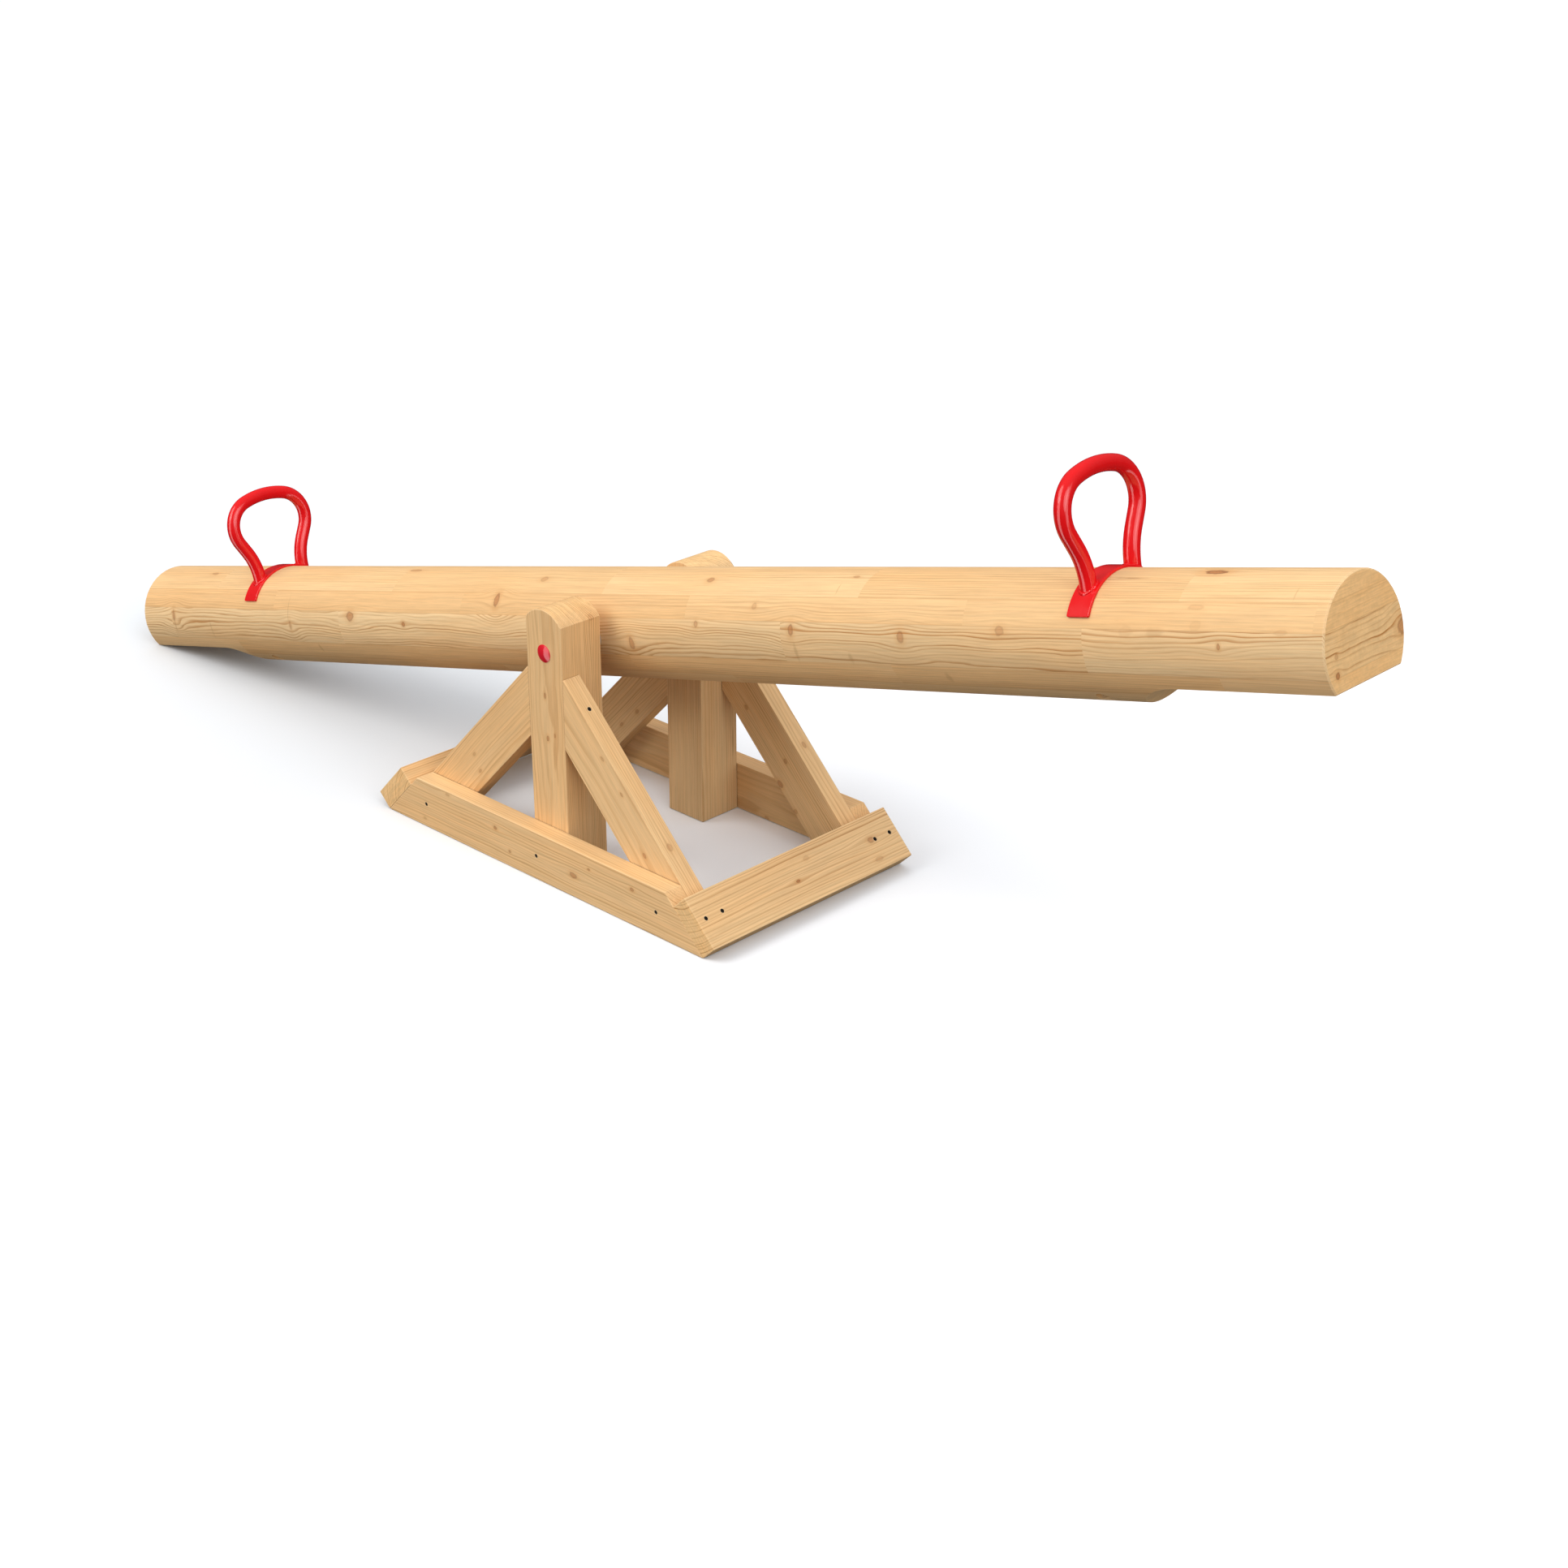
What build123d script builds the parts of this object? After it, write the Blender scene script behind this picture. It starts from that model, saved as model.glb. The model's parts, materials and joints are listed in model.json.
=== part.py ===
from build123d import *
import os
from math import acos, asin, atan, cos, degrees, radians, sin, tan

# Playground seesaw: a glued pine log rocks on a steel axle between two timber posts.
# Units are millimetres. +X runs along the base towards the raised end of the log, +Z is up,
# -Y is the near side, and the origin is on the ground under the middle of the axle.

# ---- Log
log_length = 3000
log_diameter = 195
flat_drop = 55.5            # from the log's axis down to the flat under each end
flat_length = 270
scoop_radius = 110          # of the curved run-out from the flat to the full round section
end_bevel = 2

# ---- Timber frame
pivot_height = 419
post_side = 90
post_gap = 238              # clear width between the two posts
post_height = 498
arch_rise = 22
board_thickness = 38
board_width = 92            # rails and braces
cross_board_width = 100
base_length = 840
slope_angle = 45.7          # of the braces and of the rails' end cuts
board_easing = 1.5          # rounding of the sawn edges

# ---- Wood screws, driven just below the surface
screw_length = 60
brace_screw_length = 100
screw_sink = 1
screw_hole_radius = 4.0
screw_head_radius = 3.8
screw_head_height = 4
screw_shank_radius = 2.5
screw_tip_length = 6
screw_socket_radius = 2.2
screw_socket_depth = 2.5
screw_clearance = 0.1
driver_reach = 20           # how far a screw hole's cut runs out of the timber
rail_screw_offset = 307     # along the rail, either side of the post
cross_screw_rise = 54       # up the slope from the cross board's lower edge
brace_screw_rise = 471      # up the slope from the brace's foot

# ---- Axle and its bearings
axle_radius = 12.5
axle_end_radius = 8
axle_end_clearance = 0.2
running_clearance = 0.05
sleeve_outer_radius = 20
sleeve_inner_radius = 15
sleeve_length = 184
bush_length = 30
bush_flange_radius = 20
bush_flange_thickness = 5
spotface_radius = 22
spacer_outer_radius = 18
spacer_bore_clearance = 0.2
side_play = 0.4

# ---- Nuts, washers and caps in the posts' outer faces
recess_radius = 15.25
recess_depth = 30
axle_washer_radius = 15
axle_washer_thickness = 3
axle_nut_flats = 24
axle_nut_height = 13
thread_end = 3              # how far a thread stands past its nut
cap_radius = 16
cap_skirt_radius = 15.1
cap_skirt_depth = 10
cap_wall = 2.1
cap_lip = 1
cap_dome_height = 4
cap_web = 1                 # the cap's flat floor stands this far inside the post's face
nut_corner_cut = 0.3        # how far a nut's corners are rounded back
thread_bevel = 1            # at the ends of the axle

# ---- Handles
handle_offset = 1083        # from the axle, along the log
handle_top = 251            # from the log's axis to the top of the loop's centreline
tube_radius = 13
tube_wall = 2.5
top_arc_radius = 168
top_arc_angle = 16.5
corner_arc_radius = 54
leg_lean = 29
lean_length = 24
waist_arc_radius = 120
leg_run_in = 30             # how far the straight end of a leg runs before it is cut to the strap
strap_width = 40
strap_thickness = 4
strap_half_angle = 61
strap_corner_radius = 3
strap_easing = 1.0

# ---- Studs that hold the handles
stud_radius = 5
stud_head_radius = 9.5
stud_head_height = 8
stud_hole_radius = 5.25
stud_washer_radius = 10.5
stud_washer_thickness = 2.5
stud_nut_flats = 17
stud_nut_height = 8.4
stud_recess_radius = 13
stud_recess_drop = 58       # from the log's axis down to the recess floor
stud_head_gap = 0.5         # so that the round head clears the strap inside the tube

# ---- Derived sizes
log_radius = log_diameter / 2
half_log = log_length / 2
half_base = base_length / 2
post_inner = post_gap / 2
post_outer = post_inner + post_side
rail_outer = post_outer + board_thickness
brace_middle = post_outer - board_thickness / 2
rail_middle = post_outer + board_thickness / 2
slope = radians(slope_angle)
rest_reach = half_log - end_bevel
tilt = asin(pivot_height / (rest_reach**2 + flat_drop**2) ** 0.5) - atan(flat_drop / rest_reach)
strap_radius = log_radius + strap_thickness

# ---- Working planes
pivot = (0, 0, pivot_height)
along_log = (cos(tilt), 0, sin(tilt))
log_side = Plane(origin=pivot, x_dir=along_log, z_dir=(0, -1, 0))     # x along, y up from the log
log_section = Plane(origin=pivot, x_dir=(0, 1, 0), z_dir=along_log)   # x across, y up from the log
right_slope = Plane(origin=(half_base, 0, 0), x_dir=(0, 1, 0), z_dir=(sin(slope), 0, cos(slope)))
left_slope = Plane(origin=(-half_base, 0, 0), x_dir=(0, 1, 0), z_dir=(-sin(slope), 0, cos(slope)))

os.makedirs("parts", exist_ok=True)
pieces = {}


# ---- Helpers
def shifted(plane, x, y, z=0):
    """The same plane, with its origin moved within it and along its normal."""
    return Plane(origin=plane.from_local_coords((x, y, z)), x_dir=plane.x_dir, z_dir=plane.z_dir)


def mirrored(part, plane):
    """The piece's twin on the other side of the plane."""
    with BuildPart() as twin:
        mirror(part, about=plane)
    return twin.part


def ring(base, outer_radius, height, inner_radius=0):
    """Round piece that stands on its base plane, with or without a hole."""
    with BuildPart() as piece:
        with BuildSketch(base):
            Circle(outer_radius)
            if inner_radius:
                Circle(inner_radius, mode=Mode.SUBTRACT)
        extrude(amount=height)
    return piece.part


def hex_nut(base, across_flats, height, bore_radius):
    """Hexagon nut that stands on its base plane, with rounded corners at both ends."""
    corner_radius = across_flats / 2 / cos(radians(30))
    with BuildPart() as nut:
        with BuildSketch(base):
            RegularPolygon(corner_radius, 6)
        extrude(amount=height)
        with BuildSketch(base):
            Circle(corner_radius - nut_corner_cut)
        extrude(amount=height, mode=Mode.INTERSECT)
        with BuildSketch(base):
            Circle(bore_radius)
        extrude(amount=height, mode=Mode.SUBTRACT)
    return nut.part


def turned(entry, outline):
    """Solid of revolution about the entry plane's normal, from (radius, height) points."""
    profile = Plane(origin=entry.origin, x_dir=entry.x_dir, z_dir=-entry.y_dir)
    with BuildPart() as piece:
        with BuildSketch(profile):
            with BuildLine():
                Polyline(*outline, close=True)
            make_face()
        revolve(axis=Axis(entry.origin, entry.z_dir))
    return piece.part


def wood_screw(entry, length):
    """Screw below the entry plane, which lies on the timber's face with its normal outwards."""
    head_top = -screw_sink
    head_bottom = head_top - screw_head_height
    tip = head_top - length
    body = turned(entry, [(0, head_top), (screw_head_radius, head_top),
                          (screw_head_radius, head_bottom), (screw_shank_radius, head_bottom),
                          (screw_shank_radius, tip + screw_tip_length), (0, tip)])
    with BuildPart() as screw:
        add(body)
        with BuildSketch(entry.offset(head_top)):
            RegularPolygon(screw_socket_radius, 6)
        extrude(amount=-screw_socket_depth, mode=Mode.SUBTRACT)
    return screw.part


def screw_hole(entry, length):
    """The room that one wood screw and its driver take out of the timber."""
    shoulder = -screw_sink - screw_head_height - screw_clearance
    bottom = -screw_sink - length - screw_clearance
    shank = screw_shank_radius + screw_clearance
    return turned(entry, [(0, driver_reach), (screw_hole_radius, driver_reach),
                          (screw_hole_radius, shoulder),
                          (shank, shoulder), (shank, bottom), (0, bottom)])


def eased_board(outline_plane, outline, thickness, holes):
    """Board with eased edges, cut from an outline, with its screw holes."""
    with BuildPart() as board:
        with BuildSketch(outline_plane):
            with BuildLine():
                Polyline(*outline, close=True)
            make_face()
        extrude(amount=thickness)
        fillet(board.edges(), radius=board_easing)
        for hole in holes:
            add(hole, mode=Mode.SUBTRACT)
    return board.part


# ---- Screw places: each plane lies on the timber's face, with its normal outwards
near_rail_entries = [
    Plane(origin=(x, -rail_outer, board_width / 2), x_dir=(1, 0, 0), z_dir=(0, -1, 0))
    for x in (-rail_screw_offset, 0, rail_screw_offset)
]
far_rail_entries = [
    Plane(origin=(x, rail_outer, board_width / 2), x_dir=(1, 0, 0), z_dir=(0, 1, 0))
    for x in (-rail_screw_offset, 0, rail_screw_offset)
]
right_cross_entries = [
    shifted(right_slope, y, cross_screw_rise, board_thickness)
    for y in (-rail_middle, -brace_middle, brace_middle, rail_middle)
]
left_cross_entries = [
    shifted(left_slope, y, -cross_screw_rise, board_thickness)
    for y in (-rail_middle, -brace_middle, brace_middle, rail_middle)
]
right_brace_entries = [
    shifted(right_slope, y, brace_screw_rise) for y in (-brace_middle, brace_middle)
]
left_brace_entries = [
    shifted(left_slope, y, -brace_screw_rise) for y in (-brace_middle, brace_middle)
]
rail_holes = [screw_hole(entry, screw_length) for entry in near_rail_entries]
right_cross_holes = [screw_hole(entry, screw_length) for entry in right_cross_entries]
left_cross_holes = [screw_hole(entry, screw_length) for entry in left_cross_entries]
brace_holes = [screw_hole(entry, brace_screw_length)
               for entry in right_brace_entries + left_brace_entries]
near_side_holes = rail_holes + right_cross_holes[:2] + left_cross_holes[:2] + brace_holes

# ---- Rails: they lie along the ground outside the posts, with sloped ends
rail_top_half = half_base - board_width / tan(slope)
rail_outline = [(-half_base, 0), (half_base, 0), (rail_top_half, board_width),
                (-rail_top_half, board_width)]
rail_near = eased_board(Plane.XZ.offset(post_outer), rail_outline, board_thickness,
                        near_side_holes)
pieces["rail_near"] = rail_near
pieces["rail_far"] = mirrored(rail_near, Plane.XZ)

# ---- Braces: they lean on the posts and stand on the ground, in line with the rails' end cuts
half_post = post_side / 2
brace_top = (half_base - half_post) * tan(slope)
brace_outline = [(half_base, 0), (half_post, brace_top),
                 (half_post, brace_top - board_width / cos(slope)),
                 (half_base - board_width / sin(slope), 0)]
brace_near_right = eased_board(Plane.XZ.offset(post_outer - board_thickness), brace_outline,
                               board_thickness, near_side_holes)
pieces["brace_near_right"] = brace_near_right
pieces["brace_near_left"] = mirrored(brace_near_right, Plane.YZ)
pieces["brace_far_right"] = mirrored(brace_near_right, Plane.XZ)
pieces["brace_far_left"] = mirrored(pieces["brace_near_left"], Plane.XZ)

# ---- Cross boards: they lie on the sloped ends and tie the two sides together
cross_outline = [(-rail_outer, 0), (rail_outer, 0), (rail_outer, cross_board_width),
                 (-rail_outer, cross_board_width)]
cross_board_right = eased_board(right_slope, cross_outline, board_thickness, right_cross_holes)
pieces["cross_board_right"] = cross_board_right
pieces["cross_board_left"] = mirrored(cross_board_right, Plane.YZ)

# ---- Posts: square, with arched tops, a bore for the axle and a recess for its nut
shoulder_height = post_height - arch_rise
with BuildPart() as post:
    with BuildSketch(Plane.XZ.offset(post_inner)):
        with BuildLine():
            Polyline((-half_post, shoulder_height), (-half_post, 0), (half_post, 0),
                     (half_post, shoulder_height))
            ThreePointArc((-half_post, shoulder_height), (0, post_height),
                          (half_post, shoulder_height))
        make_face()
    extrude(amount=post_side)
    fillet(post.edges(), radius=board_easing)
    with BuildSketch(shifted(Plane.XZ, 0, pivot_height, post_inner)):
        Circle(axle_end_radius + axle_end_clearance)
    extrude(amount=post_side, mode=Mode.SUBTRACT)
    with BuildSketch(shifted(Plane.XZ, 0, pivot_height, post_outer)):
        Circle(recess_radius)
    extrude(amount=-recess_depth, mode=Mode.SUBTRACT)
    for hole in near_side_holes:
        add(hole, mode=Mode.SUBTRACT)
pieces["post_near"] = post.part
pieces["post_far"] = mirrored(post.part, Plane.XZ)

# ---- Screws of the frame
with BuildPart() as rail_screws:
    for entry in near_rail_entries + far_rail_entries:
        add(wood_screw(entry, screw_length))
pieces["rail_screws"] = rail_screws.part

with BuildPart() as cross_board_screws:
    for entry in right_cross_entries + left_cross_entries:
        add(wood_screw(entry, screw_length))
pieces["cross_board_screws"] = cross_board_screws.part

with BuildPart() as brace_screws:
    for entry in right_brace_entries + left_brace_entries:
        add(wood_screw(entry, brace_screw_length))
pieces["brace_screws"] = brace_screws.part

# ---- Axle: its shoulders space the posts, and its thinner threaded ends pass through them
recess_floor = post_outer - recess_depth
axle_end = recess_floor + axle_washer_thickness + axle_nut_height + thread_end
near_axis = shifted(Plane.XZ, 0, pivot_height)
axle_half = [(0, 0), (axle_radius, 0), (axle_radius, post_inner), (axle_end_radius, post_inner),
             (axle_end_radius, axle_end - thread_bevel), (axle_end_radius - thread_bevel, axle_end),
             (0, axle_end)]
near_half = turned(near_axis, axle_half)
with BuildPart() as axle:
    add(near_half)
    mirror(near_half, about=Plane.XZ)
pieces["axle"] = axle.part

near_washer = ring(near_axis.offset(recess_floor), axle_washer_radius, axle_washer_thickness,
                   axle_end_radius + axle_end_clearance)
with BuildPart() as axle_washers:
    add(near_washer)
    mirror(near_washer, about=Plane.XZ)
pieces["axle_washers"] = axle_washers.part

near_nut = hex_nut(near_axis.offset(recess_floor + axle_washer_thickness), axle_nut_flats,
                   axle_nut_height, axle_end_radius)
with BuildPart() as axle_nuts:
    add(near_nut)
    mirror(near_nut, about=Plane.XZ)
pieces["axle_nuts"] = axle_nuts.part

# ---- Spacers: loose rings on the axle, between the log's bushes and the posts
bush_face = sleeve_length / 2 + bush_flange_thickness
spacer_start = bush_face + side_play
spacer_near = ring(near_axis.offset(spacer_start), spacer_outer_radius,
                   post_inner - spacer_start, axle_radius + spacer_bore_clearance)
pieces["spacer_near"] = spacer_near
pieces["spacer_far"] = mirrored(spacer_near, Plane.XZ)

# ---- Caps: domed plastic plugs that close the recesses
cap_profile = Plane(origin=(0, -post_outer, pivot_height), x_dir=(1, 0, 0), z_dir=(0, 0, 1))
cap_inner_radius = cap_skirt_radius - cap_wall
dome_start = (cap_radius, -cap_lip)
dome_crown = (0, -cap_lip - cap_dome_height)
with BuildPart() as cap:
    with BuildSketch(cap_profile):
        with BuildLine():
            Polyline((0, cap_web), (cap_inner_radius, cap_web), (cap_inner_radius, cap_skirt_depth),
                     (cap_skirt_radius, cap_skirt_depth), (cap_skirt_radius, 0), (cap_radius, 0),
                     dome_start)
            TangentArc(dome_crown, dome_start, tangent=(1, 0))
            Line(dome_crown, (0, cap_web))
        make_face()
    revolve(axis=Axis((0, -post_outer, pivot_height), (0, 1, 0)))
pieces["axle_cap_near"] = cap.part
pieces["axle_cap_far"] = mirrored(cap.part, Plane.XZ)

# ---- Log: round, with a flat under each end and a hollow curve that runs out of it
cut_overrun = 20            # how far the cut runs below the round section and past the end
cut_drop = log_radius + cut_overrun
scoop_turn = degrees(acos(1 - (cut_drop - flat_drop) / scoop_radius))
flat_end = half_log - flat_length
cut_end = half_log + cut_overrun
leg_offset = (
    (top_arc_radius - corner_arc_radius) * sin(radians(top_arc_angle))
    + (corner_arc_radius + waist_arc_radius) * cos(radians(leg_lean))
    - waist_arc_radius
    - lean_length * sin(radians(leg_lean))
)
stud_places = [
    (along, across) for along in (-handle_offset, handle_offset)
    for across in (-leg_offset, leg_offset)
]


def log_level(along, across, height):
    """Plane square to the log's upward normal, at a place given from the pivot."""
    origin = log_side.from_local_coords((along, height, -across))
    return Plane(origin=origin, x_dir=along_log, z_dir=log_side.y_dir)


with BuildPart() as log:
    with BuildSketch(log_section.offset(-half_log)):
        Circle(log_radius)
    extrude(amount=log_length)
    with BuildSketch(log_side.offset(-log_radius)):
        with BuildLine():
            scoop = JernArc((flat_end, -flat_drop), (-1, 0), scoop_radius, scoop_turn)
            Polyline(scoop @ 1, (cut_end, -cut_drop), (cut_end, -flat_drop), scoop @ 0)
        make_face()
        mirror(about=Plane.YZ)
    extrude(amount=log_diameter, mode=Mode.SUBTRACT)
    end_faces = log.faces().filter_by(Axis(pivot, along_log)).sort_by(Axis(pivot, along_log))
    chamfer(end_faces[0].edges() + end_faces[-1].edges(), length=end_bevel)
    with BuildSketch(near_axis):
        Circle(sleeve_outer_radius)
    extrude(amount=log_radius, both=True, mode=Mode.SUBTRACT)
    for face_plane in (near_axis.offset(sleeve_length / 2), near_axis.offset(-log_radius)):
        with BuildSketch(face_plane):
            Circle(spotface_radius)
        extrude(amount=log_radius - sleeve_length / 2, mode=Mode.SUBTRACT)
    for along, across in stud_places:
        with BuildSketch(log_level(along, across, -log_radius)):
            Circle(stud_hole_radius)
        extrude(amount=log_diameter, mode=Mode.SUBTRACT)
        with BuildSketch(log_level(along, across, -log_radius)):
            Circle(stud_recess_radius)
        extrude(amount=log_radius - stud_recess_drop, mode=Mode.SUBTRACT)
pieces["log"] = log.part

# ---- Sleeve and flanged bushes, held in the log
pieces["pivot_sleeve"] = ring(near_axis.offset(-sleeve_length / 2), sleeve_outer_radius,
                              sleeve_length, sleeve_inner_radius)
bush_bore = axle_radius + running_clearance
bush_near = turned(near_axis.offset(sleeve_length / 2), [
    (bush_bore, -bush_length), (sleeve_inner_radius, -bush_length), (sleeve_inner_radius, 0),
    (bush_flange_radius, 0), (bush_flange_radius, bush_flange_thickness),
    (bush_bore, bush_flange_thickness)])
pieces["bush_near"] = bush_near
pieces["bush_far"] = mirrored(bush_near, Plane.XZ)

# ---- Handles: a bent tube on a curved strap, one pair at each end of the log
corner_sweep = 90 + leg_lean - top_arc_angle
across_tolerance = 0.01     # how far from square to the log an edge may be and still count
edge_across = 2 * strap_radius * sin(radians(strap_half_angle))
edge_height = 2 * strap_radius * cos(radians(strap_half_angle))
strap_wedge = [(0, 0), (edge_across, edge_height), (0, 2 * strap_radius),
               (-edge_across, edge_height)]
for side, along in (("left", -handle_offset), ("right", handle_offset)):
    loop_plane = log_section.offset(along)
    with BuildPart() as loop:
        with BuildLine(loop_plane) as half_path:
            top_arc = JernArc((0, handle_top), (1, 0), top_arc_radius, -top_arc_angle)
            corner_arc = JernArc(top_arc @ 1, top_arc % 1, corner_arc_radius, -corner_sweep)
            lean = Line(corner_arc @ 1, corner_arc @ 1 + lean_length * (corner_arc % 1))
            waist_arc = JernArc(lean @ 1, lean % 1, waist_arc_radius, leg_lean)
            Line(waist_arc @ 1, waist_arc @ 1 + leg_run_in * (waist_arc % 1))
        with BuildSketch(Plane(origin=top_arc @ 0, x_dir=along_log, z_dir=(0, 1, 0))):
            Circle(tube_radius)
            Circle(tube_radius - tube_wall, mode=Mode.SUBTRACT)
        sweep(path=half_path.wire())
        mirror(about=Plane.XZ)
        with BuildSketch(log_section.offset(along - strap_width)):
            Circle(strap_radius)
        extrude(amount=2 * strap_width, mode=Mode.SUBTRACT)
    pieces[f"handle_loop_{side}"] = loop.part

    with BuildPart() as strap:
        with BuildSketch(log_section.offset(along - strap_width / 2)):
            Circle(strap_radius)
            Circle(log_radius, mode=Mode.SUBTRACT)
            with BuildLine():
                Polyline(*strap_wedge, close=True)
            make_face(mode=Mode.INTERSECT)
        extrude(amount=strap_width)
        radial_edges = [
            edge for edge in strap.edges().filter_by(GeomType.LINE)
            if abs((edge % 0.5).dot(Vector(*along_log))) < across_tolerance
        ]
        fillet(radial_edges, radius=strap_corner_radius)
        outer_face = strap.faces().filter_by(GeomType.CYLINDER).sort_by(SortBy.AREA)[-1]
        fillet(outer_face.edges(), radius=strap_easing)
        for across in (-leg_offset, leg_offset):
            with BuildSketch(log_level(along, across, 0)):
                Circle(stud_hole_radius)
            extrude(amount=2 * log_radius, mode=Mode.SUBTRACT)
    pieces[f"handle_strap_{side}"] = strap.part

# ---- Studs, washers and nuts of the handles
inner_leg = leg_offset - tube_radius + tube_wall
stud_head_base = (strap_radius**2 - inner_leg**2) ** 0.5 + stud_head_gap
washer_bottom = stud_recess_drop + stud_washer_thickness
nut_bottom = washer_bottom + stud_nut_height
stud_bottom = nut_bottom + thread_end
with BuildPart() as handle_studs:
    for along, across in stud_places:
        add(ring(log_level(along, across, stud_head_base), stud_head_radius, stud_head_height))
        add(ring(log_level(along, across, -stud_bottom), stud_radius,
                 stud_bottom + stud_head_base))
pieces["handle_studs"] = handle_studs.part

with BuildPart() as handle_washers:
    for along, across in stud_places:
        add(ring(log_level(along, across, -washer_bottom), stud_washer_radius,
                 stud_washer_thickness, stud_hole_radius))
pieces["handle_washers"] = handle_washers.part

with BuildPart() as handle_nuts:
    for along, across in stud_places:
        add(hex_nut(log_level(along, across, -nut_bottom), stud_nut_flats, stud_nut_height,
                    stud_radius))
pieces["handle_nuts"] = handle_nuts.part

# ---- Export
for name, part in pieces.items():
    part.label = name
    export_step(part, f"parts/{name}.step")
print(f"tilt {degrees(tilt):.3f} deg, leg offset {leg_offset:.2f} mm, {len(pieces)} nodes")
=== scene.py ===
import json
from math import cos, pi, radians, sin, sqrt
from typing import NamedTuple

import bpy
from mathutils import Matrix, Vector


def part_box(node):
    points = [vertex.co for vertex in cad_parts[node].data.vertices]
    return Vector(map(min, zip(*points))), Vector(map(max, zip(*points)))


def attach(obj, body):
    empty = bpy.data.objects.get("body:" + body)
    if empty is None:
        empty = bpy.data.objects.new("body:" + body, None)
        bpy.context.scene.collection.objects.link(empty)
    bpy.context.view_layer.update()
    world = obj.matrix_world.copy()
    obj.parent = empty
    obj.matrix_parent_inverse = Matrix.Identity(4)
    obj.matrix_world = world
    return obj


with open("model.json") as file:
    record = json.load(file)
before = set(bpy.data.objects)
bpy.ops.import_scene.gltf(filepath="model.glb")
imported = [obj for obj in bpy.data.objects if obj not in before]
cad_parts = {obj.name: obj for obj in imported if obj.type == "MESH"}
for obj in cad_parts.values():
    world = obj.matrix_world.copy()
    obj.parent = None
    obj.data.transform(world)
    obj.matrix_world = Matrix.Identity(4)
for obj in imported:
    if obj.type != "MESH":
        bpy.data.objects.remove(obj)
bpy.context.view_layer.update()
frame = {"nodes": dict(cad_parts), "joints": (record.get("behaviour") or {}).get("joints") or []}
nodes = frame["nodes"]

# ---- Places taken from the frame
X, Y, Z = (Vector(axis) for axis in ((1, 0, 0), (0, 1, 0), (0, 0, 1)))
rocking = frame["joints"][0]
pivot = Vector(rocking["pos_m"])
tilt = radians(rocking["range_deg"][1] / 2)
along_log = Vector((cos(tilt), 0, sin(tilt)))
log_up = Vector((-sin(tilt), 0, cos(tilt)))
log_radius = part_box("log")[1].y


def middle(node):
    """The middle of a CAD node's box."""
    low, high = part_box(node)
    return (low + high) / 2


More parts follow.
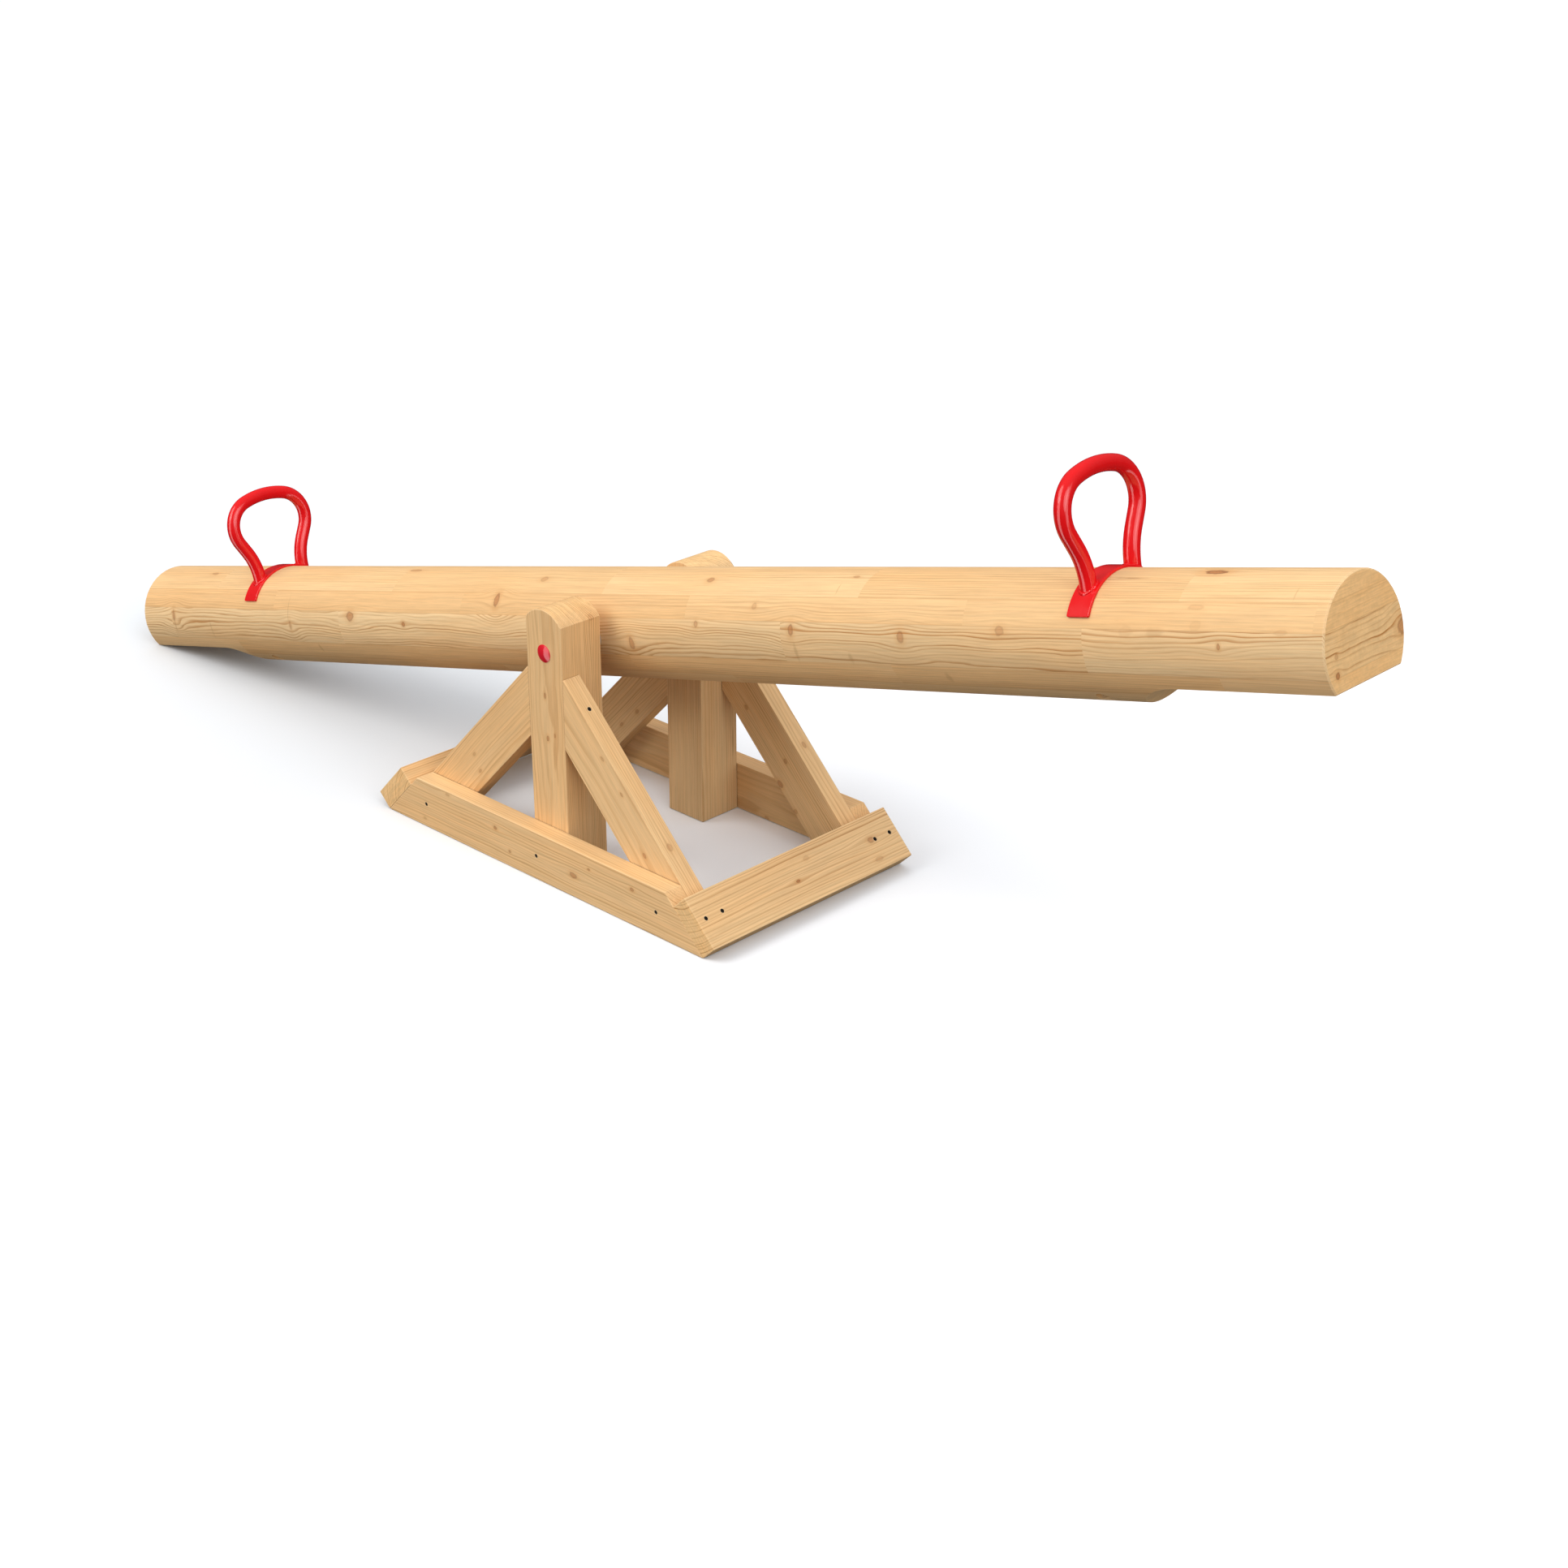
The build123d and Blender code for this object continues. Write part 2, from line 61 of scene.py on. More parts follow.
# ---- Node building
class Graph:
    """Short calls that build the nodes of one material or of the world."""

    def __init__(self, owner, place="Object"):
        owner.use_nodes = True
        self.owner = owner
        self.tree = owner.node_tree
        self.tree.nodes.clear()
        self.place = self.add("TexCoord").outputs[place]

    def add(self, kind, **settings):
        node = self.tree.nodes.new("ShaderNode" + kind)
        for name, value in settings.items():
            setattr(node, name, value)
        return node

    def put(self, socket, value):
        """Links a socket, or sets a plain number, vector or colour."""
        if isinstance(value, bpy.types.NodeSocket):
            self.tree.links.new(value, socket)
        else:
            socket.default_value = value

    def math(self, operation, *values):
        node = self.add("Math", operation=operation)
        for socket, value in zip(node.inputs, values):
            self.put(socket, value)
        return node.outputs[0]

    def vector(self, operation, *values):
        node = self.add("VectorMath", operation=operation)
        for socket, value in zip(node.inputs, values):
            self.put(socket, value)
        is_number = operation in ("LENGTH", "DOT_PRODUCT")
        return node.outputs["Value" if is_number else "Vector"]

    def scaled(self, vector, factor):
        node = self.add("VectorMath", operation="SCALE")
        self.put(node.inputs[0], vector)
        self.put(node.inputs["Scale"], factor)
        return node.outputs["Vector"]

    def split(self, vector):
        node = self.add("SeparateXYZ")
        self.put(node.inputs[0], vector)
        return node.outputs[:]

    def join(self, *values):
        node = self.add("CombineXYZ")
        for socket, value in zip(node.inputs, values):
            self.put(socket, value)
        return node.outputs[0]

    def noise(self, place, stretch, detail=2.0, roughness=0.5):
        """Noise from 0 to 1, with its own number of features per metre along each axis."""
        node = self.add("TexNoise")
        self.put(node.inputs["Vector"], self.vector("MULTIPLY", place, stretch))
        node.inputs["Scale"].default_value = 1.0
        node.inputs["Detail"].default_value = detail
        node.inputs["Roughness"].default_value = roughness
        return node.outputs["Fac"]

    def wander(self, place, stretch, reach, detail=2.0):
        """Noise centred on zero, up to about half of reach each way."""
        centred = self.math("SUBTRACT", self.noise(place, stretch, detail), 0.5)
        return self.math("MULTIPLY", centred, reach)

    def ramp(self, value, start, end, low=0.0, high=1.0, shape="LINEAR"):
        """A number that goes from low to high as the value goes from start to end."""
        node = self.add("MapRange", interpolation_type=shape)
        for socket, number in zip(node.inputs, (value, start, end, low, high)):
            self.put(socket, number)
        return node.outputs[0]

    def smooth(self, *values):
        """A ramp that eases in and out."""
        return self.ramp(*values, shape="SMOOTHSTEP")

    def mix(self, factor, first, second):
        node = self.add("Mix", data_type="RGBA")
        for socket, value in zip((node.inputs[0], node.inputs[6], node.inputs[7]),
                                 (factor, first, second)):
            self.put(socket, value)
        return node.outputs[2]

    def shade(self, colour, factor):
        """Multiplies a colour by a number."""
        plain = not isinstance(colour, bpy.types.NodeSocket)
        return self.scaled(colour[:3] if plain else colour, factor)

    def staircase(self, value, steps):
        """A number that changes at each (level, number) step; the first level is the lowest."""
        result = steps[0][1]
        for (_, before), (level, after) in zip(steps, steps[1:]):
            above = self.math("GREATER_THAN", value, level)
            result = self.math("MULTIPLY_ADD", above, after - before, result)
        return result

    def bump(self, height, depth):
        node = self.add("Bump")
        node.inputs["Strength"].default_value = 1.0
        node.inputs["Distance"].default_value = depth
        self.put(node.inputs["Height"], height)
        return node.outputs["Normal"]

    def edge(self, radius):
        """1 on a sharp outer edge, 0 on a flat face."""
        bevel = self.add("Bevel", samples=4)
        bevel.inputs["Radius"].default_value = radius
        flat = self.add("NewGeometry").outputs["Normal"]
        agreement = self.vector("DOT_PRODUCT", bevel.outputs[0], flat)
        return self.smooth(agreement, 0.99, 0.86)

    def principled(self, colour, roughness, normal, **plain):
        """A principled shader, with any other inputs set to plain values by name."""
        shader = self.add("BsdfPrincipled")
        self.put(shader.inputs["Base Color"], colour)
        self.put(shader.inputs["Roughness"], roughness)
        self.put(shader.inputs["Normal"], normal)
        for name, value in plain.items():
            shader.inputs[name.replace("_", " ")].default_value = value
        return shader.outputs["BSDF"]

    def output(self, shader, kind="OutputMaterial"):
        """Ends the graph, and gives back the material or world that it belongs to."""
        self.put(self.add(kind).inputs["Surface"], shader)
        return self.owner

    def finish(self, *values, **plain):
        """Ends the graph in a principled shader."""
        return self.output(self.principled(*values, **plain))


def material_graph(name):
    return Graph(bpy.data.materials.new(name))


def rgb(red, green, blue):
    return (red, green, blue, 1.0)


# ---- Wood
PALE_WOOD = rgb(0.82, 0.575, 0.305)
HONEY_WOOD = rgb(0.83, 0.515, 0.235)
LATEWOOD = rgb(0.49, 0.215, 0.058)
WARM_BLOTCH = rgb(0.83, 0.46, 0.18)
# painted highlight colour for the timbers' outer edges
EDGE_HIGHLIGHT = rgb(0.95, 0.73, 0.44)
KNOT_HALO = rgb(0.62, 0.26, 0.07)
KNOT_HEART = rgb(0.42, 0.155, 0.045)
KNOT_RIM = rgb(0.17, 0.055, 0.02)
STREAK = rgb(0.36, 0.17, 0.06)
END_TINT = (1.06, 1.01, 0.88)       # what a sawn end's colour is multiplied by
END_RING_SPACING = 0.0085           # between the level rings on an end, in metres
JOINT_STAGGER = 0.37                # how far each layer's finger joints move on, in pieces
WHOLE = 10.0                        # a piece longer than any stick, in metres
GLUE_LINE = (0.0011, 0.0002)        # its half width, where it fades out and where it is full
SHADE_REACH = 0.006                  # how far from a gap or corner the painted shade reaches
# how wide the painted edge highlight is
EDGE_HIGHLIGHT_WIDTH = 0.003


class Layer(NamedTuple):
    """One layer of a stick; its pith may lie outside it. Lengths are in metres."""

    start: float                    # where the layer begins through the stick
    pith_across: float
    pith_through: float
    ring_spacing: float
    contrast: float                 # how dark its rings are, from 0 to 1
    warmth: float                   # from pale (0) to honey (1)


class Mark(NamedTuple):
    """A knot or a resin streak, in metres."""

    centre: tuple                   # in the stick's own axes
    along: float                    # half its length along the grain
    across: float                   # and half its width across it
    darkness: float                 # from 0 to 1


class Timber:
    """One stick of pine: its axes, its layers, glued one on the next, and the marks in it.

    A layer is finger-jointed from pieces of the given length. The wave is the number of slow
    bends in the grain per metre, and how far they reach. Where the ends are flat-grained, their
    rings are drawn as nearly level lines.
    """

    def __init__(self, name, along, across, layers, origin=None, wave=(2.4, 0.014),
                 length=WHOLE, flat_ends=False):
        self.name = name
        self.seed = len(timbers) + 1
        self.origin = middle(name) if origin is None else origin
        self.axes = (along, across, along.cross(across))
        self.layers = layers
        self.wave = wave
        self.length = length
        self.flat_ends = flat_ends
        self.knots = []
        self.streaks = []
        timbers.append(self)

    def mark(self, marks, x, y, z, along, across, darkness):
        """Adds a mark at a place of the object."""
        offset = Vector((x, y, z)) - self.origin
        centre = tuple(offset.dot(axis) for axis in self.axes)
        marks.append(Mark(centre, along, across, darkness))


timbers = []


class Pine(Graph):
    """The material of one timber: planed pine, lightly oiled.

    Its place is in the timber's frame: x along the grain, y across it and z through it.
    """

    def __init__(self, timber):
        super().__init__(bpy.data.materials.new(timber.name + "_pine"))
        self.timber = timber
        offset = self.vector("SUBTRACT", self.place, timber.origin)
        self.place = self.join(*(self.vector("DOT_PRODUCT", offset, axis)
                                 for axis in timber.axes))
        distance_along, _, self.depth = self.split(self.place)

        # the layer at this depth, whose start isn't needed
        _, *columns = zip(*timber.layers)
        self.layer = Layer(None, *(self.by_layer(column) for column in columns))

        # each piece of each layer has its own shift along the grain and its own tone
        number = self.by_layer(float(number) for number in range(len(timber.layers)))
        piece = self.math("MULTIPLY_ADD", distance_along, 1 / timber.length, 0.5)
        piece = self.math("FLOOR", self.math("MULTIPLY_ADD", number, JOINT_STAGGER, piece))
        self.shift = self.math("ADD", self.math("MULTIPLY", number, 4.7),
                               self.math("MULTIPLY", piece, 1.9))
        seed = timber.seed
        self.tone = self.noise(self.join(piece, self.math("MULTIPLY", number, 3.3), seed * 1.7),
                               (0.77, 1, 1), 0.0)
        seeded = self.vector("ADD", self.place, (seed * 3.7, seed * 1.3, seed * 0.7))
        self.seeded = self.vector("ADD", seeded, self.join(self.shift, 0.0, 0.0))

        # 1 on a face sawn across the grain
        self.normal = self.add("NewGeometry").outputs["Normal"]
        facing = self.vector("DOT_PRODUCT", self.normal, timber.axes[0])
        self.end = self.smooth(self.math("ABSOLUTE", facing), 0.75, 0.95)

    def by_layer(self, values):
        """The value, out of one for each layer, at this depth."""
        starts = (layer.start for layer in self.timber.layers)
        return self.staircase(self.depth, list(zip(starts, values)))

    def on_ends(self, side, end):
        """One number on the faces along the grain, and another on the sawn ends."""
        return self.math("MULTIPLY_ADD", self.end, end - side, side)

    def flow(self):
        """Where the grain has bent to, round the knots."""
        flow = self.place
        for centre, along, across, darkness in self.timber.knots:
            offset = self.vector("SUBTRACT", self.place, centre)
            reach = (1 / (3.5 * along + 0.018), 1 / (2.6 * across), 1 / (2.6 * across))
            pull = min(0.92, 1.2 * darkness)
            scaled = self.vector("MULTIPLY", offset, reach)
            squared = self.vector("DOT_PRODUCT", scaled, scaled)
            fade = self.math("EXPONENT", self.math("MULTIPLY", squared, -1.0))
            push = self.scaled(self.vector("MULTIPLY", offset, (0, pull, pull)), fade)
            flow = self.vector("SUBTRACT", flow, push)
        return flow

    def ring_radius(self):
        """The distance from the pith, with slow, middling and fine waves along the grain."""
        _, flow_y, flow_z = self.split(self.flow())
        off_pith = self.join(0.0, self.math("SUBTRACT", flow_y, self.layer.pith_across),
                             self.math("SUBTRACT", flow_z, self.layer.pith_through))
        radius = self.vector("LENGTH", off_pith)
        bends, reach = self.timber.wave
        for stretch, size in (((bends, 9, 9), reach), ((7, 28, 28), 0.0032),
                              ((16, 110, 110), 0.0007)):
            radius = self.math("ADD", radius, self.wander(self.seeded, stretch, size))
        if not self.timber.flat_ends:
            return radius
        level = self.math("ADD", flow_z, self.wander(self.seeded, (1, 11, 11), 0.015))
        level = self.math("MULTIPLY", self.math("DIVIDE", level, END_RING_SPACING),
                          self.layer.ring_spacing)
        return self.math("ADD", self.math("MULTIPLY", radius, self.on_ends(1.0, 0.0)),
                         self.math("MULTIPLY", level, self.end))

    def rings(self):
        """The dark late wood of the growth rings, with fewer dark rings on an end."""
        radius = self.ring_radius()
        contrast = self.layer.contrast
        if self.timber.flat_ends:
            contrast = self.math("POWER", contrast, self.on_ends(1.0, 2.3))
        uneven = self.noise(self.join(radius, self.timber.seed * 5.1, 0.0), (60, 1, 1), 1.0)
        phase = self.math("ADD", self.math("DIVIDE", radius, self.layer.ring_spacing),
                          self.math("MULTIPLY", uneven, 2.2))
        part = self.math("FRACT", phase)
        late = self.math("MULTIPLY", self.smooth(part, 0.38, 0.90), self.smooth(part, 1.0, 0.94))
        late = self.math("POWER", late, self.on_ends(1.0, 2.5))
        ring = self.join(self.math("FLOOR", phase), self.timber.seed * 2.3, self.shift)
        strength = self.smooth(self.noise(ring, (0.73, 1, 1), 0.0), 0.32, 0.68, 0.22, 1.0)
        strength = self.math("POWER", strength, self.on_ends(1.0, 1.6))
        fade = self.smooth(self.noise(self.seeded, (2.2, 30, 30), 2.0), 0.3, 0.7, 0.45, 1.0)
        rings = self.math("MULTIPLY", self.math("MULTIPLY", late, strength),
                          self.math("MULTIPLY", fade, contrast))
        return self.math("MULTIPLY", rings, self.on_ends(1.0, 1.7))

    def fibre(self):
        """Fine lines along the grain, or faint saw marks on an end."""
        lines = self.noise(self.seeded, (14, 560, 560), 3.0, 0.6)
        saw = self.noise(self.seeded, (30, 25, 420), 2.0)
        return self.math("ADD", self.math("MULTIPLY", lines, self.on_ends(1.0, 0.0)),
                         self.math("MULTIPLY", saw, self.end))

    def ducts(self):
        """Short dark resin ducts along the grain."""
        return self.smooth(self.noise(self.seeded, (45, 1500, 1500), 1.0), 0.64, 0.74)

    def clear_wood(self, rings, fibre, ducts):
        """The colour of the wood with no marks in it."""
        warmth = self.math("ADD", self.layer.warmth, self.smooth(self.tone, 0.3, 0.7, -0.25, 0.25))
        if self.timber.flat_ends:
            warmth = self.math("MULTIPLY_ADD", self.end, 0.5, warmth)
        blotch = self.smooth(self.noise(self.seeded, (2.5, 16, 16), 3.0), 0.35, 0.75)
        stripe = self.noise(self.seeded, (5, 150, 150), 2.0, 0.6)
        colour = self.mix(warmth, PALE_WOOD, HONEY_WOOD)
        colour = self.shade(colour, self.smooth(self.tone, 0.3, 0.7, 1.02, 0.95))
        colour = self.mix(self.math("MULTIPLY", blotch, 0.4), colour, WARM_BLOTCH)
        colour = self.mix(rings, colour, LATEWOOD)
        colour = self.shade(colour, self.smooth(fibre, 0.25, 0.75, 0.91, 1.07))
        colour = self.shade(colour, self.smooth(stripe, 0.3, 0.7, 0.955, 1.035))
        return self.shade(colour, self.math("MULTIPLY_ADD", ducts, -0.09, 1.0))

    def distances(self, marks, ragged):
        """The distance from each mark, 1 at its ragged outline, with how dark it is."""
        found = []
        for centre, along, across, darkness in marks:
            offset = self.vector("SUBTRACT", self.place, centre)
            scaled = self.vector("MULTIPLY", offset, (1 / along, 1 / across, 1 / across))
            distance = self.math("ADD", self.vector("LENGTH", scaled), ragged)
            found.append((distance, darkness))
        return found

    def deepest(self, distances, outer, inner):
        """The darkest mark at a place, fading in from its outer to its inner distance."""
        result = 0.0
        for distance, darkness in distances:
            depth = self.smooth(distance, outer, inner, 0.0, darkness)
            result = self.math("MAXIMUM", result, depth)
        return result

    def with_marks(self, colour):
        """Adds knots, with a stained halo, a dark rim and a ringed heart, and resin streaks."""
        ragged = self.wander(self.seeded, (70, 120, 120), 0.9, 3.0)
        distances = self.distances(self.timber.knots, ragged)
        nearest = 9.0
        for distance, _ in distances:
            nearest = self.math("MINIMUM", nearest, distance)
        halo = self.deepest(distances, 2.5, 0.8)
        heart = self.deepest(distances, 1.15, 0.75)
        rim = self.math("MULTIPLY", self.smooth(nearest, 0.45, 0.9), 0.75)
        heart_rings = self.smooth(self.math("PINGPONG", nearest, 0.16), 0.0, 0.16, 0.86, 1.14)
        heart_colour = self.shade(self.mix(rim, KNOT_HEART, KNOT_RIM), heart_rings)
        colour = self.mix(self.math("MULTIPLY", halo, 0.4), colour, KNOT_HALO)
        colour = self.mix(self.math("MULTIPLY", heart, 0.85), colour, heart_colour)
        streaks = self.deepest(self.distances(self.timber.streaks, ragged), 1.3, 0.3)
        return self.mix(streaks, colour, STREAK)

    def with_glue_lines(self, colour):
        """Adds a thin darker line between each layer and the next."""
        for layer in self.timber.layers[1:]:
            away = self.math("ABSOLUTE", self.math("SUBTRACT", self.depth, layer.start))
            colour = self.mix(self.smooth(away, *GLUE_LINE, 0.0, 0.25), colour, LATEWOOD)
        return colour

    def with_painted_light_and_end_tint(self, colour):
        """Adds painted shade in the gaps and corners between timbers, but not on faces that look
        down, painted highlights along the edges and the ends' own tint.
        """
        # painted shade: darker where another face is close, in gaps and inside corners; faces that
        # look down are left out
        hollow = self.add("AmbientOcclusion", samples=4)
        hollow.inputs["Distance"].default_value = SHADE_REACH
        painted_shade = self.smooth(hollow.outputs["AO"], 0.15, 0.50, 0.40, 1.0)
        faces_down = self.smooth(self.split(self.normal)[2], -0.90, -0.97)
        colour = self.shade(colour, self.math("MAXIMUM", painted_shade, faces_down))
        # painted highlight: a paler colour along the outer edges
        colour = self.mix(self.math("MULTIPLY", self.edge(EDGE_HIGHLIGHT_WIDTH), 0.45), colour, EDGE_HIGHLIGHT)
        return self.mix(self.math("MULTIPLY", self.end, 0.5), colour,
                        self.vector("MULTIPLY", colour, END_TINT))


def pine(timber):
    """Builds a timber's material."""
    wood = Pine(timber)
    rings, fibre, ducts = wood.rings(), wood.fibre(), wood.ducts()
    colour = wood.clear_wood(rings, fibre, ducts)
    for add in (wood.with_marks, wood.with_glue_lines, wood.with_painted_light_and_end_tint):
        colour = add(colour)
    roughness = wood.math("ADD", wood.smooth(fibre, 0.2, 0.8, 0.46, 0.6),
                          wood.math("MULTIPLY", rings, -0.10))
    relief = wood.math("ADD", wood.math("MULTIPLY", rings, 0.6), fibre)
    relief = wood.math("SUBTRACT", relief, wood.math("MULTIPLY", ducts, 0.5))
    return wood.finish(colour, roughness, wood.bump(relief, 0.00012), Specular_IOR_Level=0.35)


# ---- The log: five lamellas, with the marks seen on its near side and its raised end
LOG_LENGTH = 3.0
END_KNOT_DEPTH = 0.006
log = Timber("log", along_log, Y, [
    Layer(-1.000, 0.05, -0.30, 0.0050, 0.40, 0.7),
    Layer(-0.068, -0.10, 0.23, 0.0046, 0.42, 0.85),
    Layer(-0.033, 0.005, 0.030, 0.0017, 1.00, 0.0),
    Layer(0.033, -0.06, -0.28, 0.0050, 0.42, 0.9),
    Layer(0.068, 0.04, 0.24, 0.0040, 0.42, 0.7),
], origin=pivot, wave=(1.6, 0.013), length=0.62, flat_ends=True)


def on_log(marks, along, angle, size_along, size_across, darkness):
    """Adds a mark on the log's surface, at an angle from its top towards the near side."""
    turn = radians(angle)
    centre = (along, -log_radius * sin(turn), log_radius * cos(turn))
    marks.append(Mark(centre, size_along, size_across, darkness))


# along the log, degrees, half sizes along and across, darkness
for knot in (
    (-1.38, 80, 0.005, 0.012, 0.6), (-1.28, 20, 0.012, 0.004, 0.5), (-0.94, 88, 0.004, 0.010, 0.5),
    (-0.73, 76, 0.012, 0.009, 0.7), (-0.59, 10, 0.020, 0.005, 0.5), (-0.555, 83, 0.005, 0.005, 0.8),
    (-0.275, 54, 0.007, 0.013, 0.75), (-0.17, 26, 0.010, 0.007, 0.4), (0.10, 96, 0.007, 0.011, 0.6),
    (0.27, 26, 0.009, 0.006, 0.6), (0.27, 75, 0.005, 0.006, 0.5), (0.405, 56, 0.006, 0.006, 0.35),
    (0.495, 78, 0.006, 0.010, 0.7), (0.60, 19, 0.008, 0.003, 0.5), (0.735, 82, 0.007, 0.010, 0.6),
    (0.935, 74, 0.009, 0.008, 0.45), (1.17, 72, 0.012, 0.010, 0.10), (1.28, 7, 0.019, 0.008, 0.95),
    (1.285, 50, 0.014, 0.004, 0.22), (1.29, 66, 0.010, 0.008, 0.10), (1.33, 82, 0.003, 0.005, 0.7),
    (1.43, 70, 0.012, 0.004, 0.22),
):
    on_log(log.knots, *knot)
for streak in (
    (-1.38, 92, 0.003, 0.022, 0.25), (-1.24, 96, 0.003, 0.022, 0.22),
    (-0.866, 118, 0.004, 0.012, 0.3), (-0.945, 72, 0.0012, 0.036, 0.35),
    (0.50, 100, 0.004, 0.018, 0.30), (0.58, 36, 0.0012, 0.014, 0.30),
    (0.62, 104, 0.005, 0.010, 0.30), (0.955, 14, 0.090, 0.0013, 0.40),
    (1.148, 19, 0.030, 0.0016, 0.65), (0.81, 122, 0.006, 0.012, 0.3),
    (1.22, 72, 0.018, 0.008, 0.25), (1.44, 36, 0.0012, 0.014, 0.25),
):
    on_log(log.streaks, *streak)
for across, height, size, darkness in (
    (-0.070, -0.004, 0.004, 0.4), (-0.072, -0.030, 0.005, 0.9), (0.092, -0.004, 0.012, 0.7),
):
    log.knots.append(Mark((LOG_LENGTH / 2, across, height), END_KNOT_DEPTH, size, darkness))

# ---- Boards and posts: one layer each, with the marks seen on them
SLOPE = radians(45.7)               # of the braces and of the rails' ends
DRAWN_ALONG, DRAWN_ACROSS = 0.85, 0.75      # how much of its listed size a knot is drawn at
up_slope = {side: Vector((lean * cos(SLOPE), 0, sin(SLOPE)))
            for side, lean in (("left", 1), ("right", -1))}


def board(name, along, across, *layer):
    """A timber of one layer, given by its pith, ring spacing, contrast and warmth."""
    return Timber(name, along, across, [Layer(-1.0, *layer)])


near_post = board("post_near", Z, X, 0.012, 0.075, 0.0027, 0.85, 0.45)
far_post = board("post_far", Z, X, 0.10, -0.06, 0.0044, 0.70, 0.5)
near_rail = board("rail_near", X, Z, 0.085, -0.050, 0.0046, 0.72, 0.6)
far_rail = board("rail_far", X, Z, -0.03, -0.090, 0.0044, 0.62, 0.7)
board("cross_board_left", Y, up_slope["left"], 0.06, 0.08, 0.0044, 0.65, 0.6)
right_cross = board("cross_board_right", Y, up_slope["right"], 0.12, 0.03, 0.0054, 0.85, 0.5)
braces = {}
for depth, side, *layer in (
    ("near", "left", 0.09, -0.05, 0.0046, 0.68, 0.45),
    ("near", "right", -0.02, 0.085, 0.0046, 0.68, 0.55),
    ("far", "left", -0.08, 0.06, 0.0046, 0.68, 0.65),
    ("far", "right", 0.085, 0.045, 0.0046, 0.68, 0.75),
):
    along = up_slope[side]
    braces[depth, side] = board(f"brace_{depth}_{side}", along, Y.cross(along), *layer)

# x, y, z, half sizes along and across, darkness
frame_knots = (
    (near_rail, -0.243, -0.247, 0.086, 0.007, 0.004, 0.35),
    (near_rail, -0.313, -0.247, 0.016, 0.006, 0.004, 0.35),
    (near_rail, -0.110, -0.247, 0.064, 0.006, 0.005, 0.75),
    (near_rail, -0.072, -0.247, 0.030, 0.004, 0.004, 0.6),
    (near_rail, 0.098, -0.247, 0.042, 0.011, 0.007, 0.65),
    (near_rail, 0.139, -0.247, 0.068, 0.004, 0.003, 0.7),
    (near_rail, 0.249, -0.247, 0.068, 0.006, 0.005, 0.7),
    (braces["near", "left"], -0.191, -0.209, 0.138, 0.007, 0.004, 0.5),
    (braces["near", "left"], -0.206, -0.209, 0.166, 0.006, 0.004, 0.4),
    (near_post, -0.002, -0.209, 0.340, 0.007, 0.004, 0.65),
    (near_post, 0.001, -0.209, 0.260, 0.007, 0.005, 0.75),
    (near_post, 0.020, -0.209, 0.271, 0.005, 0.003, 0.6),
    (near_post, 0.045, -0.139, 0.480, 0.010, 0.008, 0.35),
    (braces["near", "right"], 0.187, -0.209, 0.213, 0.006, 0.004, 0.6),
    (braces["near", "right"], 0.241, -0.209, 0.116, 0.007, 0.005, 0.6),
    (braces["near", "right"], 0.141, -0.209, 0.265, 0.006, 0.004, 0.5),
    (braces["near", "right"], 0.284, -0.190, 0.140, 0.009, 0.007, 0.4),
    (right_cross, 0.416, -0.014, 0.058, 0.006, 0.004, 0.95),
    (right_cross, 0.408, 0.180, 0.066, 0.010, 0.007, 0.6),
    (right_cross, 0.395, 0.028, 0.080, 0.008, 0.006, 0.25),
    (right_cross, 0.434, 0.174, 0.040, 0.012, 0.006, 0.3),
    (far_rail, 0.122, 0.209, 0.004, 0.007, 0.005, 0.4),
    (far_rail, 0.196, 0.209, 0.042, 0.008, 0.006, 0.5),
    (braces["far", "right"], 0.108, 0.171, 0.235, 0.007, 0.005, 0.5),
    (braces["far", "right"], 0.207, 0.171, 0.158, 0.006, 0.005, 0.55),
    (braces["far", "right"], 0.194, 0.171, 0.109, 0.010, 0.008, 0.7),
    (braces["far", "right"], 0.233, 0.171, 0.067, 0.006, 0.005, 0.5),
    (braces["far", "right"], 0.233, 0.192, 0.192, 0.008, 0.006, 0.5),
    (braces["far", "left"], -0.230, 0.171, 0.099, 0.007, 0.005, 0.5),
    (braces["far", "left"], -0.185, 0.171, 0.139, 0.007, 0.005, 0.5),
)
for timber, x, y, z, along, across, darkness in frame_knots:
    timber.mark(timber.knots, x, y, z, DRAWN_ALONG * along, DRAWN_ACROSS * across, darkness)
far_post.mark(far_post.streaks, 0.045, 0.199, 0.140, 0.030, 0.003, 0.35)


def paint(node, material):
    """Gives a CAD node one material."""
    for slot in nodes[node].material_slots:
        slot.material = material


for timber in timbers:
    paint(timber.name, pine(timber))


# ---- Coated metal, plastic, zinc, black steel and nylon
def coating(name, colour, roughness):
    """Smooth gloss coat with a faint orange peel."""
    graph = material_graph(name)
    tint = graph.smooth(graph.noise(graph.place, (9, 9, 9), 3.0), 0.3, 0.7, 0.94, 1.05)
    shaded = graph.shade(colour, tint)
    # painted highlight: a lighter red along the sharp edges
    shaded = graph.mix(graph.math("MULTIPLY", graph.edge(0.0015), 0.25), shaded,
                       rgb(0.95, 0.12, 0.10))
    smudge = graph.smooth(graph.noise(graph.place, (30, 30, 30), 4.0), 0.3, 0.8)
    rough = graph.math("MULTIPLY_ADD", smudge, 0.08, roughness)
    peel = graph.noise(graph.place, (420, 420, 420), 2.0)
    return graph.finish(shaded, rough, graph.bump(peel, 0.00002), Specular_IOR_Level=0.5)


